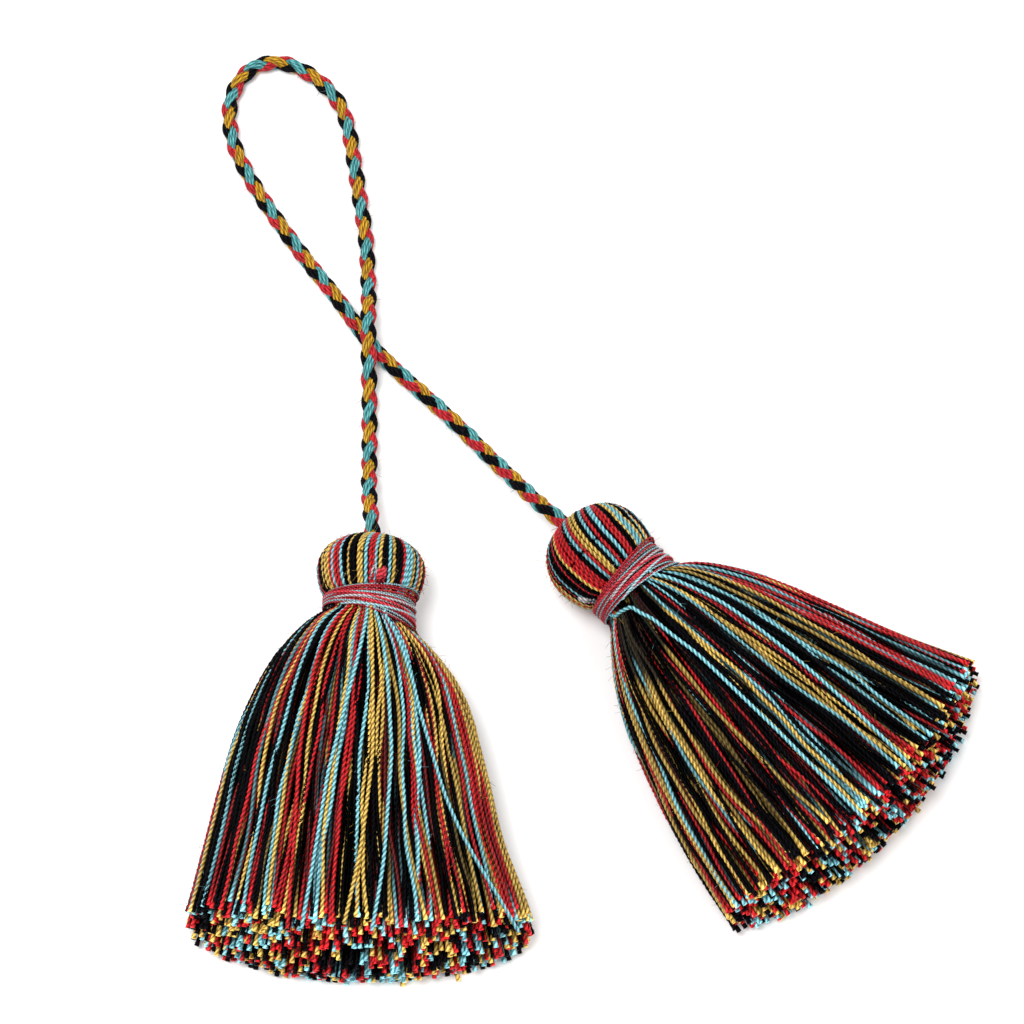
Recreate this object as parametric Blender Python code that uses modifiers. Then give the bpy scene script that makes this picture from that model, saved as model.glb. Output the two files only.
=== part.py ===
"""A double key tassel laid out on a table: two yarn tassels joined by one braided cord.

Each tassel is a round head of folded yarns, a bound neck and a loose skirt whose locks are rooted in
the neck. The cord leaves one head, makes a loop that passes over itself, and ends in the other head.
Units are metres, +Z is up, and the table is z = 0. Tables are in millimetres, as their names say.
"""

import math
import random
from collections import namedtuple

import bmesh
import bpy
from mathutils import Vector

MM = 0.001

# Where things lie on the table. The layout has its own zero between the heads, and LAYOUT_MIDDLE_MM
# is the middle of the two tassels' footprint there, which becomes the part's origin.
LAYOUT_MIDDLE_MM = Vector((14.44, -49.2, 0.0))

# A tassel's own axes: +X runs from the neck's end face along the skirt, +Y to the skirt's left, +Z up.
SkirtSection = namedtuple("SkirtSection", "along left_width right_width top widest_at")
Tassel = namedtuple(
    "Tassel",
    "name neck_x neck_y heading head_length belly_to_binding binding_length binding_skew"
    " hem_low hem_high skirt_mm",
)

LEFT_SKIRT_MM = (
    SkirtSection(along=0, left_width=8.5, right_width=8.5, top=18.7, widest_at=10.2),
    SkirtSection(along=3, left_width=12.0, right_width=13.2, top=20.4, widest_at=10.0),
    SkirtSection(along=8, left_width=16.2, right_width=17.8, top=22.2, widest_at=9.6),
    SkirtSection(along=16, left_width=20.4, right_width=22.1, top=23.6, widest_at=9.2),
    SkirtSection(along=28, left_width=24.4, right_width=25.9, top=24.4, widest_at=9.0),
    SkirtSection(along=42, left_width=28.3, right_width=28.6, top=24.2, widest_at=8.8),
    SkirtSection(along=56, left_width=34.0, right_width=31.2, top=23.4, widest_at=8.6),
    SkirtSection(along=72, left_width=38.6, right_width=34.6, top=22.2, widest_at=8.4),
)
RIGHT_SKIRT_MM = (
    SkirtSection(along=0, left_width=8.5, right_width=8.5, top=18.7, widest_at=10.2),
    SkirtSection(along=3, left_width=12.5, right_width=11.8, top=20.2, widest_at=10.0),
    SkirtSection(along=8, left_width=16.2, right_width=16.0, top=21.8, widest_at=9.6),
    SkirtSection(along=16, left_width=20.5, right_width=21.1, top=23.2, widest_at=9.2),
    SkirtSection(along=28, left_width=25.3, right_width=26.6, top=24.0, widest_at=9.0),
    SkirtSection(along=42, left_width=30.7, right_width=31.6, top=23.8, widest_at=8.8),
    SkirtSection(along=56, left_width=36.8, right_width=35.2, top=23.0, widest_at=8.6),
    SkirtSection(along=72, left_width=43.0, right_width=39.0, top=21.8, widest_at=8.4),
)
TASSELS = (
    Tassel(
        name="left", neck_x=-28.0, neck_y=-26.6, heading=-92.2,
        head_length=12.6, belly_to_binding=5.9, binding_length=5.2, binding_skew=11.0,
        hem_low=71.6, hem_high=64.2, skirt_mm=LEFT_SKIRT_MM,
    ),
    Tassel(
        name="right", neck_x=25.5, neck_y=-21.1, heading=-44.5,
        head_length=16.0, belly_to_binding=6.6, binding_length=5.8, binding_skew=3.0,
        hem_low=69.2, hem_high=63.9, skirt_mm=RIGHT_SKIRT_MM,
    ),
)

# The head: a ball of yarns folded down over the cord, flattened a little where it rests.
HEAD_RADIUS = 10.5 * MM
HEAD_AXIS_HEIGHT = 10.2 * MM
HEAD_FOLDS = 20
HEAD_FOLD_RAISE = 0.28 * MM
HEAD_STEPS = 2 * HEAD_FOLDS
HEAD_RINGS_TO_POLE = 6
HEAD_RINGS_TO_NECK = 3
POLE_RADIUS = 2.1 * MM
NECK_RADIUS = 8.5 * MM

# The binding: thread wound round the neck, its turns shown as a few ribs. Its skew leans the neck's
# end face too, and fades out along the skirt.
LEAN_FADE = 16.0 * MM
CLEARANCE = 0.3 * MM
BINDING_TO_SKIRT = 0.5 * MM
BINDING_THICKNESS = 0.75 * MM
BINDING_RIBS = 4
BINDING_RIB_DEPTH = 0.22 * MM
BINDING_STEPS = 24

# The skirt's locks, each a bunch of yarns, in rings about the neck's middle: 1, 6, 12, 18 and so on.
LOCK_RINGS = 6
LOCKS_PER_RING_STEP = 6
ROOT_DEPTH = 1.0 * MM
ROOT_RING_RADIUS = 7.75 * MM
LOCK_ROOT_WIDTH = 0.62 * MM
LOCK_END_WIDTH = 1.5 * MM
LOCK_FULL_AT = 34.0 * MM
LOCK_STATIONS_MM = (0.5, 4.5, 17.0)
LOCK_END_SWAY = 0.5 * MM
HEM_UNEVENNESS = 0.9 * MM
TABLE_REACHED_AT = 11.0 * MM
ROUND_POWER = 2.0
FLAT_POWER = 5.0
HEM_SEARCH_STEPS = 30
SEED = 7

# The cord: a round braid of four strands, 3 mm thick, its crossings raised as diamonds.
CORD_RADIUS = 1.5 * MM
CORD_SIDES = 8
BRAID_STEP = 2.1 * MM
ROUTE_SUBSTEPS = 20
BRAID_RAISE = 0.2 * MM
CORD_REST_MM = 1.78
CORD_OVER_MM = 5.6

# The cord's route on the table in the layout's millimetres, from the left head to the right one.
CORD_ROUTE_MM = (
    (-27.4, -8.7, 10.2), (-27.6, -5.6, 9.8), (-28.1, -1.6, 7.9), (-28.4, 3.4, 5.6),
    (-28.5, 8.8, 3.7), (-28.6, 14.8, 2.4), (-28.7, 20.6, 2.1), (-28.8, 26.4, 3.1),
    (-28.9, 31.2, 4.8), (-29.0, 36.0, CORD_OVER_MM), (-29.1, 40.8, 4.8), (-29.2, 46.0, 2.8),
    (-29.5, 52.0, CORD_REST_MM), (-30.0, 59.0, CORD_REST_MM), (-31.3, 67.6, CORD_REST_MM),
    (-32.7, 76.6, CORD_REST_MM), (-34.1, 84.6, CORD_REST_MM), (-36.7, 91.0, CORD_REST_MM),
    (-41.6, 96.2, CORD_REST_MM), (-47.6, 99.2, CORD_REST_MM), (-53.4, 98.6, CORD_REST_MM),
    (-57.3, 94.4, CORD_REST_MM), (-58.8, 88.2, CORD_REST_MM), (-57.8, 81.0, CORD_REST_MM),
    (-55.0, 74.4, CORD_REST_MM), (-50.9, 67.2, CORD_REST_MM), (-46.3, 60.2, CORD_REST_MM),
    (-41.2, 53.0, CORD_REST_MM), (-35.6, 45.6, CORD_REST_MM), (-29.0, 36.0, CORD_REST_MM),
    (-22.9, 29.4, CORD_REST_MM), (-16.4, 23.3, CORD_REST_MM), (-10.0, 17.0, CORD_REST_MM),
    (-4.4, 10.9, 2.2), (0.6, 5.0, 4.4), (4.4, 0.1, 7.2), (7.2, -3.2, 9.4), (9.6, -5.6, 10.2),
)

WELD_DISTANCE = 0.005 * MM
SHARP_EDGE = math.radians(55.0)

MATERIALS = {
    "head_and_skirt_yarn": ((0.36, 0.09, 0.07, 1.0), 0.75),
    "binding_thread": ((0.48, 0.05, 0.07, 1.0), 0.7),
    "braided_cord_yarn": ((0.28, 0.2, 0.06, 1.0), 0.75),
}


def collection(name):
    made = bpy.data.collections.new(name)
    bpy.context.scene.collection.children.link(made)
    return made


def material(name):
    colour, roughness = MATERIALS[name]
    made = bpy.data.materials.new(name)
    made.use_nodes = True
    shader = made.node_tree.nodes["Principled BSDF"]
    shader.inputs["Base Color"].default_value = colour
    shader.inputs["Roughness"].default_value = roughness
    shader.inputs["Metallic"].default_value = 0.0
    return made


def add_object(name, data, home, parent=None):
    made = bpy.data.objects.new(name, data)
    home.objects.link(made)
    made.parent = parent
    return made


def as_guide(thing):
    """Marks an object as a helper that is not part of the product."""
    thing.hide_render = True
    thing.display_type = "WIRE"


def mesh_from(source, name, home, parent=None):
    """A mesh object of what a curve or a modified object evaluates to; the source is removed."""
    bpy.context.view_layer.update()
    evaluated = source.evaluated_get(bpy.context.evaluated_depsgraph_get())
    mesh = bpy.data.meshes.new_from_object(evaluated)
    bpy.data.objects.remove(source)
    mesh.name = name
    return add_object(name, mesh, home, parent)


def weld(mesh):
    shape = bmesh.new()
    shape.from_mesh(mesh)
    bmesh.ops.remove_doubles(shape, verts=shape.verts, dist=WELD_DISTANCE)
    bmesh.ops.recalc_face_normals(shape, faces=shape.faces)
    shape.to_mesh(mesh)
    shape.free()


def curved_value(rows, column, along):
    """A column of a table of sections, read smoothly between its rows."""
    spans = zip(rows, rows[1:])
    low, high = next((a, b) for a, b in spans if along <= b.along or b is rows[-1])
    index = rows.index(low)
    before = rows[max(index - 1, 0)]
    after = rows[min(index + 2, len(rows) - 1)]
    span = high.along - low.along
    share = min(max((along - low.along) / span, 0.0), 1.0)
    start, end = getattr(low, column), getattr(high, column)
    slope_in = (end - getattr(before, column)) / (high.along - before.along) * span
    slope_out = (getattr(after, column) - start) / (after.along - low.along) * span
    cube, square = share**3, share**2
    return (
        (2 * cube - 3 * square + 1) * start
        + (cube - 2 * square + share) * slope_in
        + (3 * square - 2 * cube) * end
        + (cube - square) * slope_out
    )


def lock_width(along):
    """A lock's width, which grows from its root until it is full."""
    share = min(max(along / LOCK_FULL_AT, 0.0), 1.0)
    return LOCK_ROOT_WIDTH + (LOCK_END_WIDTH - LOCK_ROOT_WIDTH) * share * (2.0 - share)


def leaned(tassel, point):
    """Shifts a point along the axis as the binding's skew does, most at the neck's end face."""
    if point.x < 0:
        share = min(max(1.0 + point.x / (tassel.binding_length * MM), 0.0), 1.0)
    else:
        share = max(1.0 - point.x / LEAN_FADE, 0.0)
    side = min(max(point.y, -NECK_RADIUS), NECK_RADIUS)
    shift = share * side * math.tan(math.radians(tassel.binding_skew))
    return Vector((point.x + shift, point.y, point.z))


def skirt_point(tassel, across, upward, along):
    """Where the lock that starts at (across, upward) in the neck's unit disc is at a distance along.

    The neck's disc spreads into a wide section with a domed top and a flat underside on the table.
    """
    reach = max(along, 0.0)
    rows, where = tassel.skirt_mm, reach / MM
    half = lock_width(reach) / 2
    inset = half if reach > 0 else NECK_RADIUS - ROOT_RING_RADIUS
    left = curved_value(rows, "left_width", where) * MM - inset
    right = curved_value(rows, "right_width", where) * MM - inset
    top = curved_value(rows, "top", where) * MM - inset
    widest = curved_value(rows, "widest_at", where) * MM
    settled = min(reach / TABLE_REACHED_AT, 1.0)
    settled = settled * settled * (3.0 - 2.0 * settled)
    floor = (HEAD_AXIS_HEIGHT - ROOT_RING_RADIUS) * (1.0 - settled) + half * settled
    power = ROUND_POWER + (FLAT_POWER - ROUND_POWER) * settled

    side = across * ((left + right) / 2 + (left - right) / 2 * across)
    chord = math.sqrt(max(1.0 - across * across, 0.0))
    level = upward / chord if chord > 0 else 0.0
    bulge_over = (1.0 - abs(across) ** ROUND_POWER) ** (1.0 / ROUND_POWER)
    bulge_under = (1.0 - abs(across) ** power) ** (1.0 / power)
    highest = widest + (top - widest) * bulge_over
    lowest = widest - (widest - floor) * bulge_under
    height = lowest + (highest - lowest) * (level + 1.0) / 2
    return leaned(tassel, Vector((along, side, height)))


def hem_distance(tassel, across, upward):
    """How far along a lock runs before it meets the trimmed hem, an arc about the binding's middle."""
    high_share = min(max((upward + 0.4) / 1.4, 0.0), 1.0)
    radius = (tassel.hem_low + (tassel.hem_high - tassel.hem_low) * high_share) * MM
    near, far = 0.0, tassel.hem_low * MM
    for _ in range(HEM_SEARCH_STEPS):
        middle = (near + far) / 2
        point = skirt_point(tassel, across, upward, middle)
        if math.hypot(point.x + tassel.binding_length * MM / 2, point.y) < radius:
            near = middle
        else:
            far = middle
    return near


def lock_starts():
    """The locks' places in the neck's unit disc: one in the middle and six more on each ring."""
    yield 0.0, 0.0
    for ring in range(1, LOCK_RINGS + 1):
        count = LOCKS_PER_RING_STEP * ring
        for place in range(count):
            angle = 2 * math.pi * (place + 0.5 * (ring % 2)) / count
            share = ring / LOCK_RINGS
            yield share * math.cos(angle), share * math.sin(angle)


def make_locks(tassel, home, parent):
    """The skirt's locks as one mesh of separate four-sided strands, each sunk into the neck."""
    draw = random.Random(SEED + len(tassel.name))
    curve = bpy.data.curves.new(tassel.name + "_locks", "CURVE")
    curve.dimensions = "3D"
    curve.twist_mode = "Z_UP"
    curve.bevel_depth = LOCK_END_WIDTH / math.sqrt(2)
    curve.bevel_resolution = 0
    curve.render_resolution_u = 0
    curve.use_fill_caps = True
    for across, upward in lock_starts():
        sway = LOCK_END_SWAY * draw.uniform(-1.0, 1.0)
        end = hem_distance(tassel, across, upward) + HEM_UNEVENNESS * draw.uniform(-1.0, 1.0)
        stations = [-ROOT_DEPTH] + [mm * MM for mm in LOCK_STATIONS_MM] + [end]
        spline = curve.splines.new("POLY")
        spline.points.add(len(stations) - 1)
        for knot, along in zip(spline.points, stations):
            place = skirt_point(tassel, across, upward, along)
            place.y += sway * max(along / end, 0.0) ** 2
            knot.co = (*place, 1.0)
            knot.radius = lock_width(along) / LOCK_END_WIDTH
            knot.tilt = math.pi / 4
    locks = mesh_from(add_object("lock_route", curve, home), tassel.name + "_locks", home, parent)
    weld(locks.data)
    as_guide(locks)
    return locks


def head_profile(tassel):
    """The head's outline as (distance along, radius), from the pole to the neck's end face."""
    binding = tassel.binding_length * MM
    belly = -binding - tassel.belly_to_binding * MM
    pole_reach = tassel.head_length * MM - tassel.belly_to_binding * MM
    first = math.asin(POLE_RADIUS / HEAD_RADIUS)
    points = []
    for ring in range(HEAD_RINGS_TO_POLE + 1):
        angle = first + (math.pi / 2 - first) * ring / HEAD_RINGS_TO_POLE
        points.append((belly - pole_reach * math.cos(angle), HEAD_RADIUS * math.sin(angle)))
    for ring in range(1, HEAD_RINGS_TO_NECK + 1):
        angle = math.pi / 2 * ring / HEAD_RINGS_TO_NECK
        radius = NECK_RADIUS + (HEAD_RADIUS - NECK_RADIUS) * math.cos(angle)
        points.append((belly + tassel.belly_to_binding * MM * math.sin(angle), radius))
    points.append((0.0, NECK_RADIUS))
    return points


def turned(name, profile, steps, closed, home, parent):
    """A profile of (distance along, radius) turned about the tassel's axis by a Screw modifier."""
    shape = bmesh.new()
    knots = [shape.verts.new((along, 0.0, radius)) for along, radius in profile]
    for one, two in zip(knots, knots[1:]):
        shape.edges.new((one, two))
    if closed:
        shape.edges.new((knots[-1], knots[0]))
    mesh = bpy.data.meshes.new(name)
    shape.to_mesh(mesh)
    shape.free()
    piece = add_object(name, mesh, home)
    screw = piece.modifiers.new("turn", "SCREW")
    screw.axis = "X"
    screw.steps = steps
    screw.render_steps = steps
    screw.use_merge_vertices = True
    screw.merge_threshold = WELD_DISTANCE
    return mesh_from(piece, name, home, parent)


def make_tassel_body(tassel, home, parent):
    """The head and the neck: a turned ball whose folds are raised, cut flat where it rests."""
    name = "tassel_" + tassel.name
    profile = head_profile(tassel)
    profile = [(profile[0][0], 0.0)] + profile + [(profile[-1][0], 0.0)]
    body = turned(name, profile, HEAD_STEPS, False, home, parent)
    shape = bmesh.new()
    shape.from_mesh(body.data)
    bmesh.ops.remove_doubles(shape, verts=shape.verts, dist=WELD_DISTANCE)
    for vertex in shape.verts:
        radius = math.hypot(vertex.co.y, vertex.co.z)
        angle = math.atan2(vertex.co.y, vertex.co.z)
        raised = min(max((radius - NECK_RADIUS) / (HEAD_RADIUS - NECK_RADIUS), 0.0), 1.0)
        if vertex.co.x < -(tassel.binding_length + tassel.belly_to_binding) * MM:
            raised = radius / HEAD_RADIUS
        if radius > POLE_RADIUS:
            growth = 1.0 + HEAD_FOLD_RAISE * raised * math.cos(HEAD_FOLDS * angle) / radius
            vertex.co.y *= growth
            vertex.co.z *= growth
        vertex.co.z += HEAD_AXIS_HEIGHT
        vertex.co = leaned(tassel, vertex.co)
    geometry = shape.verts[:] + shape.edges[:] + shape.faces[:]
    cut = bmesh.ops.bisect_plane(
        shape, geom=geometry, plane_co=(0, 0, 0), plane_no=(0, 0, 1), clear_inner=True
    )
    rim = [item for item in cut["geom_cut"] if isinstance(item, bmesh.types.BMEdge)]
    bmesh.ops.holes_fill(shape, edges=rim, sides=0)
    bmesh.ops.recalc_face_normals(shape, faces=shape.faces)
    shape.to_mesh(body.data)
    shape.free()
    return body


def make_binding(tassel, home, parent):
    """The ring of wound thread, ribbed like its turns and skewed as it was wound."""
    inner = NECK_RADIUS + CLEARANCE
    start = -tassel.binding_length * MM + CLEARANCE
    length = -start - BINDING_TO_SKIRT
    profile = [(start + length, inner), (start, inner)]
    for turn in range(2 * BINDING_RIBS + 1):
        rise = BINDING_THICKNESS - (BINDING_RIB_DEPTH if turn % 2 == 0 else 0.0)
        profile.append((start + length * turn / (2 * BINDING_RIBS), inner + rise))
    name = "binding_" + tassel.name
    binding = turned(name, profile, BINDING_STEPS, True, home, parent)
    weld(binding.data)
    for vertex in binding.data.vertices:
        vertex.co = leaned(tassel, vertex.co)
        vertex.co.z += HEAD_AXIS_HEIGHT
    return binding


def make_tassel(tassel, product, guides, yarn, thread):
    place = add_object(tassel.name + "_place", None, product)
    place.location = Vector((tassel.neck_x, tassel.neck_y, 0.0)) * MM - LAYOUT_MIDDLE_MM * MM
    place.rotation_euler.z = math.radians(tassel.heading)

    body = make_tassel_body(tassel, product, place)
    body.data.materials.append(yarn)
    join = body.modifiers.new("locks", "BOOLEAN")
    join.operation = "UNION"
    join.solver = "EXACT"
    join.object = make_locks(tassel, guides, place)

    binding = make_binding(tassel, product, place)
    binding.data.materials.append(thread)
    binding.data.shade_smooth()
    binding.data.set_sharp_from_angle(angle=SHARP_EDGE)


def smooth_route():
    """Points at even steps on a smooth curve through the route's own points."""
    knots = [(Vector(point) - LAYOUT_MIDDLE_MM) * MM for point in CORD_ROUTE_MM]
    knots = [2 * knots[0] - knots[1]] + knots + [2 * knots[-1] - knots[-2]]
    fine = []
    for a, b, c, d in zip(knots, knots[1:], knots[2:], knots[3:]):
        for step in range(ROUTE_SUBSTEPS):
            t = step / ROUTE_SUBSTEPS
            fine.append(
                0.5 * (2 * b + (c - a) * t + (2 * a - 5 * b + 4 * c - d) * t**2
                       + (3 * b - a - 3 * c + d) * t**3)
            )
    fine.append(knots[-2])
    travelled = [0.0]
    for one, two in zip(fine, fine[1:]):
        travelled.append(travelled[-1] + (two - one).length)
    count = round(travelled[-1] / BRAID_STEP)
    points, index = [], 0
    for step in range(count + 1):
        target = travelled[-1] * step / count
        while index < len(fine) - 2 and travelled[index + 1] < target:
            index += 1
        share = (target - travelled[index]) / (travelled[index + 1] - travelled[index])
        points.append(fine[index].lerp(fine[index + 1], share))
    return points


def make_cord(home, yarn):
    """The cord's tube, with the braid's diamonds raised on it in four columns."""
    points = smooth_route()
    curve = bpy.data.curves.new("cord_route", "CURVE")
    curve.dimensions = "3D"
    curve.twist_mode = "Z_UP"
    curve.bevel_depth = CORD_RADIUS
    curve.bevel_resolution = (CORD_SIDES - 4) // 2
    curve.render_resolution_u = 0
    curve.use_fill_caps = True
    spline = curve.splines.new("POLY")
    spline.points.add(len(points) - 1)
    for knot, point in zip(spline.points, points):
        knot.co = (*point, 1.0)
    cord = mesh_from(add_object("cord_route", curve, home), "braided_cord", home)
    first_ring = 3 * CORD_SIDES  # the two end caps and the first ring come before it
    for vertex in cord.data.vertices[first_ring:-CORD_SIDES]:
        ring, side = divmod(vertex.index, CORD_SIDES)
        if side % 2 == 1:
            middle = points[ring - 2]
            sign = 1.0 if (ring + side // 2) % 2 == 0 else -1.0
            vertex.co += (vertex.co - middle).normalized() * sign * BRAID_RAISE
    weld(cord.data)
    cord.data.materials.append(yarn)
    cord.data.shade_smooth()
    cord.data.set_sharp_from_angle(angle=SHARP_EDGE)


def main():
    for thing in list(bpy.data.objects):
        bpy.data.objects.remove(thing)
    product = collection("double_tassel")
    guides = collection("guides")
    yarn = material("head_and_skirt_yarn")
    thread = material("binding_thread")
    for tassel in TASSELS:
        make_tassel(tassel, product, guides, yarn, thread)
    make_cord(product, material("braided_cord_yarn"))


main()
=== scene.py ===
"""Dresses the double key tassel: twisted yarns, wound bindings, a braided cord, and a plain studio stage.

Laid out as a Blender add-on and run as a script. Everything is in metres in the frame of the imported
part. Tables whose names end in _MM are in millimetres, in the layout that the part's source uses.
"""

import math
import random
from collections import namedtuple

import bpy
import numpy as np
from bpy.props import EnumProperty, FloatProperty, FloatVectorProperty, IntProperty, PointerProperty
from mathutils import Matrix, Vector


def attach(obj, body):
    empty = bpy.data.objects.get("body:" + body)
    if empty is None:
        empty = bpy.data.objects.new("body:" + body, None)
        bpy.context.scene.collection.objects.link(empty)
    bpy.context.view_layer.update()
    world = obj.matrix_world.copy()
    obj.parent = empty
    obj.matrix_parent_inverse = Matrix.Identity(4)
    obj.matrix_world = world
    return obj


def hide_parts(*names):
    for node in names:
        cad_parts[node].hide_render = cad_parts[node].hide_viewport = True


bl_info = {
    "name": "Double key tassel",
    "version": (1, 0, 0),
    "blender": (4, 5, 0),
    "location": "3D View > Sidebar > Tassel",
    "description": "Dresses two yarn tassels on one braided cord",
    "category": "Object",
}

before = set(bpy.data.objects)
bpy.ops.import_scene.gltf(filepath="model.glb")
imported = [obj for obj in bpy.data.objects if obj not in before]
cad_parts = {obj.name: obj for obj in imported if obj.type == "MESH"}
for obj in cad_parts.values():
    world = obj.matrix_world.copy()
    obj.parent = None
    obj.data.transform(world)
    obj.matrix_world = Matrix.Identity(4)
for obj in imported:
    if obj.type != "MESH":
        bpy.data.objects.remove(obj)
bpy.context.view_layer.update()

MM = 0.001
BODY = "root"
COLOUR_NAMES = ("red", "gold", "turquoise", "black")

LAYOUT_MIDDLE_MM = Vector((14.44, -49.2, 0.0))
AXIS_HEIGHT = 10.2 * MM
HEAD_RADIUS = 10.5 * MM
NECK_RADIUS = 8.5 * MM
POLE_RADIUS = 2.1 * MM
LEAN_FADE = 16.0 * MM
TABLE_REACHED_AT = 11.0 * MM
ROUND_POWER = 2.0
FLAT_POWER = 5.0

# A tassel's own axes: +X runs from the neck's end face along the skirt, +Y to the skirt's left, +Z up.
SkirtSection = namedtuple("SkirtSection", "along left_width right_width top widest_at")
Tassel = namedtuple(
    "Tassel",
    "name neck_x neck_y heading head_length belly_to_binding binding_length binding_skew"
    " hem_low hem_high seed turns skirt_mm",
)
LEFT_SKIRT_MM = tuple(SkirtSection(*row) for row in (
    (0, 8.5, 8.5, 18.7, 10.2), (3, 12.0, 13.2, 20.4, 10.0), (8, 16.2, 17.8, 22.2, 9.6),
    (16, 20.4, 22.1, 23.6, 9.2), (28, 24.4, 25.9, 24.4, 9.0), (42, 28.3, 28.6, 24.2, 8.8),
    (56, 34.0, 31.2, 23.4, 8.6), (72, 38.6, 34.6, 22.2, 8.4),
))
RIGHT_SKIRT_MM = tuple(SkirtSection(*row) for row in (
    (0, 8.5, 8.5, 18.7, 10.2), (3, 12.5, 11.8, 20.2, 10.0), (8, 16.2, 16.0, 21.8, 9.6),
    (16, 20.5, 21.1, 23.2, 9.2), (28, 25.3, 26.6, 24.0, 9.0), (42, 30.7, 31.6, 23.8, 8.8),
    (56, 36.8, 35.2, 23.0, 8.6), (72, 43.0, 39.0, 21.8, 8.4),
))
# The turns of each binding from the head's side to the skirt's: r is red thread, t turquoise.
TASSELS = {
    "left": Tassel(
        name="left", neck_x=-28.0, neck_y=-26.6, heading=-92.2,
        head_length=12.6, belly_to_binding=5.9, binding_length=5.2, binding_skew=11.0,
        hem_low=71.6, hem_high=64.2, seed=11, turns="trrrptrrtprrrtpr", skirt_mm=LEFT_SKIRT_MM,
    ),
    "right": Tassel(
        name="right", neck_x=25.5, neck_y=-21.1, heading=-44.5,
        head_length=16.0, belly_to_binding=6.6, binding_length=5.8, binding_skew=3.0,
        hem_low=69.2, hem_high=63.9, seed=29, turns="rrtrptrrtprrrrtrt", skirt_mm=RIGHT_SKIRT_MM,
    ),
}

CORD_REST_MM = 1.78
CORD_OVER_MM = 5.6
# A point with no height of its own lies at CORD_REST_MM.
CORD_ROUTE_MM = (
    (-27.4, -8.7, 10.2), (-27.6, -5.6, 9.8), (-28.1, -1.6, 7.9), (-28.4, 3.4, 5.6),
    (-28.5, 8.8, 3.7), (-28.6, 14.8, 2.4), (-28.7, 20.6, 2.1), (-28.8, 26.4, 3.1),
    (-28.9, 31.2, 4.8), (-29.0, 36.0, CORD_OVER_MM), (-29.1, 40.8, 4.8), (-29.2, 46.0, 2.8),
    (-29.5, 52.0), (-30.0, 59.0), (-31.3, 67.6), (-32.7, 76.6), (-34.1, 84.6), (-36.7, 91.0),
    (-41.6, 96.2), (-47.6, 99.2), (-53.4, 98.6), (-57.3, 94.4), (-58.8, 88.2), (-57.8, 81.0),
    (-55.0, 74.4), (-50.9, 67.2), (-46.3, 60.2), (-41.2, 53.0), (-35.6, 45.6), (-29.0, 36.0),
    (-22.9, 29.4), (-16.4, 23.3), (-10.0, 17.0), (-4.4, 10.9, 2.2), (0.6, 5.0, 4.4),
    (4.4, 0.1, 7.2), (7.2, -3.2, 9.4), (9.6, -5.6, 10.2),
)

# The order of the yarns, charted as the first letters of their colours, over the visible top
# from a tassel's right to its left.
# Those of a head are one letter a yarn, and those of a skirt are at even steps across its width.
HEAD_TOPS = {
    "left": "bgbggrtrrtbgbbggtrrtgbbtgbbrtttgbtrgbrbr",
    "right": "gbrbtbbrbgrrrrbtrggbtrbttrrbbgttgbtgrbbtrgbr",
}
SKIRT_TOPS = {
    "left": "rttbgbgrrgbtbbtggrrgbrrbgtrgrbrtgbtgggbbtrgtrttrgbggbrtgrbrg",
    "right": "rtgrbbtggbrbbrbbtbbrrbbbbgttbrbtbtrgbgrgbbtttbgbgbrtbrrtgbr",
}
SKIRT_CHANCES = (28, 20, 19, 33)
HEAD_SLIT_MM = {"left": 3.0, "right": 6.5}
HEAD_SWIRL = {"left": 0.05, "right": -0.12}
BINDING_FAN = 0.34
RING_CROWDING = 0.8
STRAY_SHARE = 0.21
LONGEST_RUN = 2
HEM_SEARCHES = 24
SKIRT_LENGTH = 72 * MM
HEAD_YARN_MIDDLE = 0.36 * MM
HEAD_RINGS = 84
HEAD_SHOWN = slice(12, 74)
BOWED_RINGS = 200
BINDING_SAMPLES = 120
THREAD_TWIST = 1.8 * MM
CORE_LINING = 1.2 * MM
TWISTED_STEP = 0.42 * MM
PLAIN_RINGS = 28
INNER_RINGS = 10
# How many of the yarns just under the top ones are black whatever their run's colour.
BLACK_UNDER = 0.3
# Across this part of a skirt's top the coloured yarns come out from under black ones past the root.
DARK_ROOTS = {"left": (2.0, 2.0), "right": (-0.84, -0.10)}
# A loose yarn that bows over the others from the binding's edge: (along, across) on the skirt's top.
BOWED_YARNS = {
    "left": (
        ("turquoise", ((-1.5, 0.02), (1.0, 0.02), (8.6, -0.03), (20.0, -0.11), (35.0, -0.20),
                       (64.0, -0.25))),
        ("gold", ((-1.5, 0.10), (1.0, 0.10), (10.0, 0.10), (30.0, 0.12), (48.0, 0.06), (63.0, -0.02))),
        ("turquoise", ((-1.5, 0.20), (1.0, 0.22), (12.0, 0.24), (30.0, 0.26), (50.0, 0.20),
                       (64.0, 0.13))),
        ("red", ((-1.5, -0.40), (1.0, -0.42), (12.0, -0.45), (30.0, -0.42), (50.0, -0.36),
                 (64.0, -0.33))),
        ("turquoise", ((-1.5, 0.42), (1.0, 0.43), (20.0, 0.50), (36.0, 0.62), (50.0, 0.77),
                       (61.5, 0.90))),
    ),
    "right": (
        ("turquoise", ((-1.5, -0.97), (0.3, -0.94), (0.9, -0.74), (2.0, -0.5), (7.0, -0.32),
                       (18.0, -0.21), (40.0, -0.17), (63.0, -0.16))),
        ("turquoise", ((-1.5, 0.30), (1.0, 0.30), (14.0, 0.33), (40.0, 0.27), (63.0, 0.20))),
    ),
}
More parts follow.
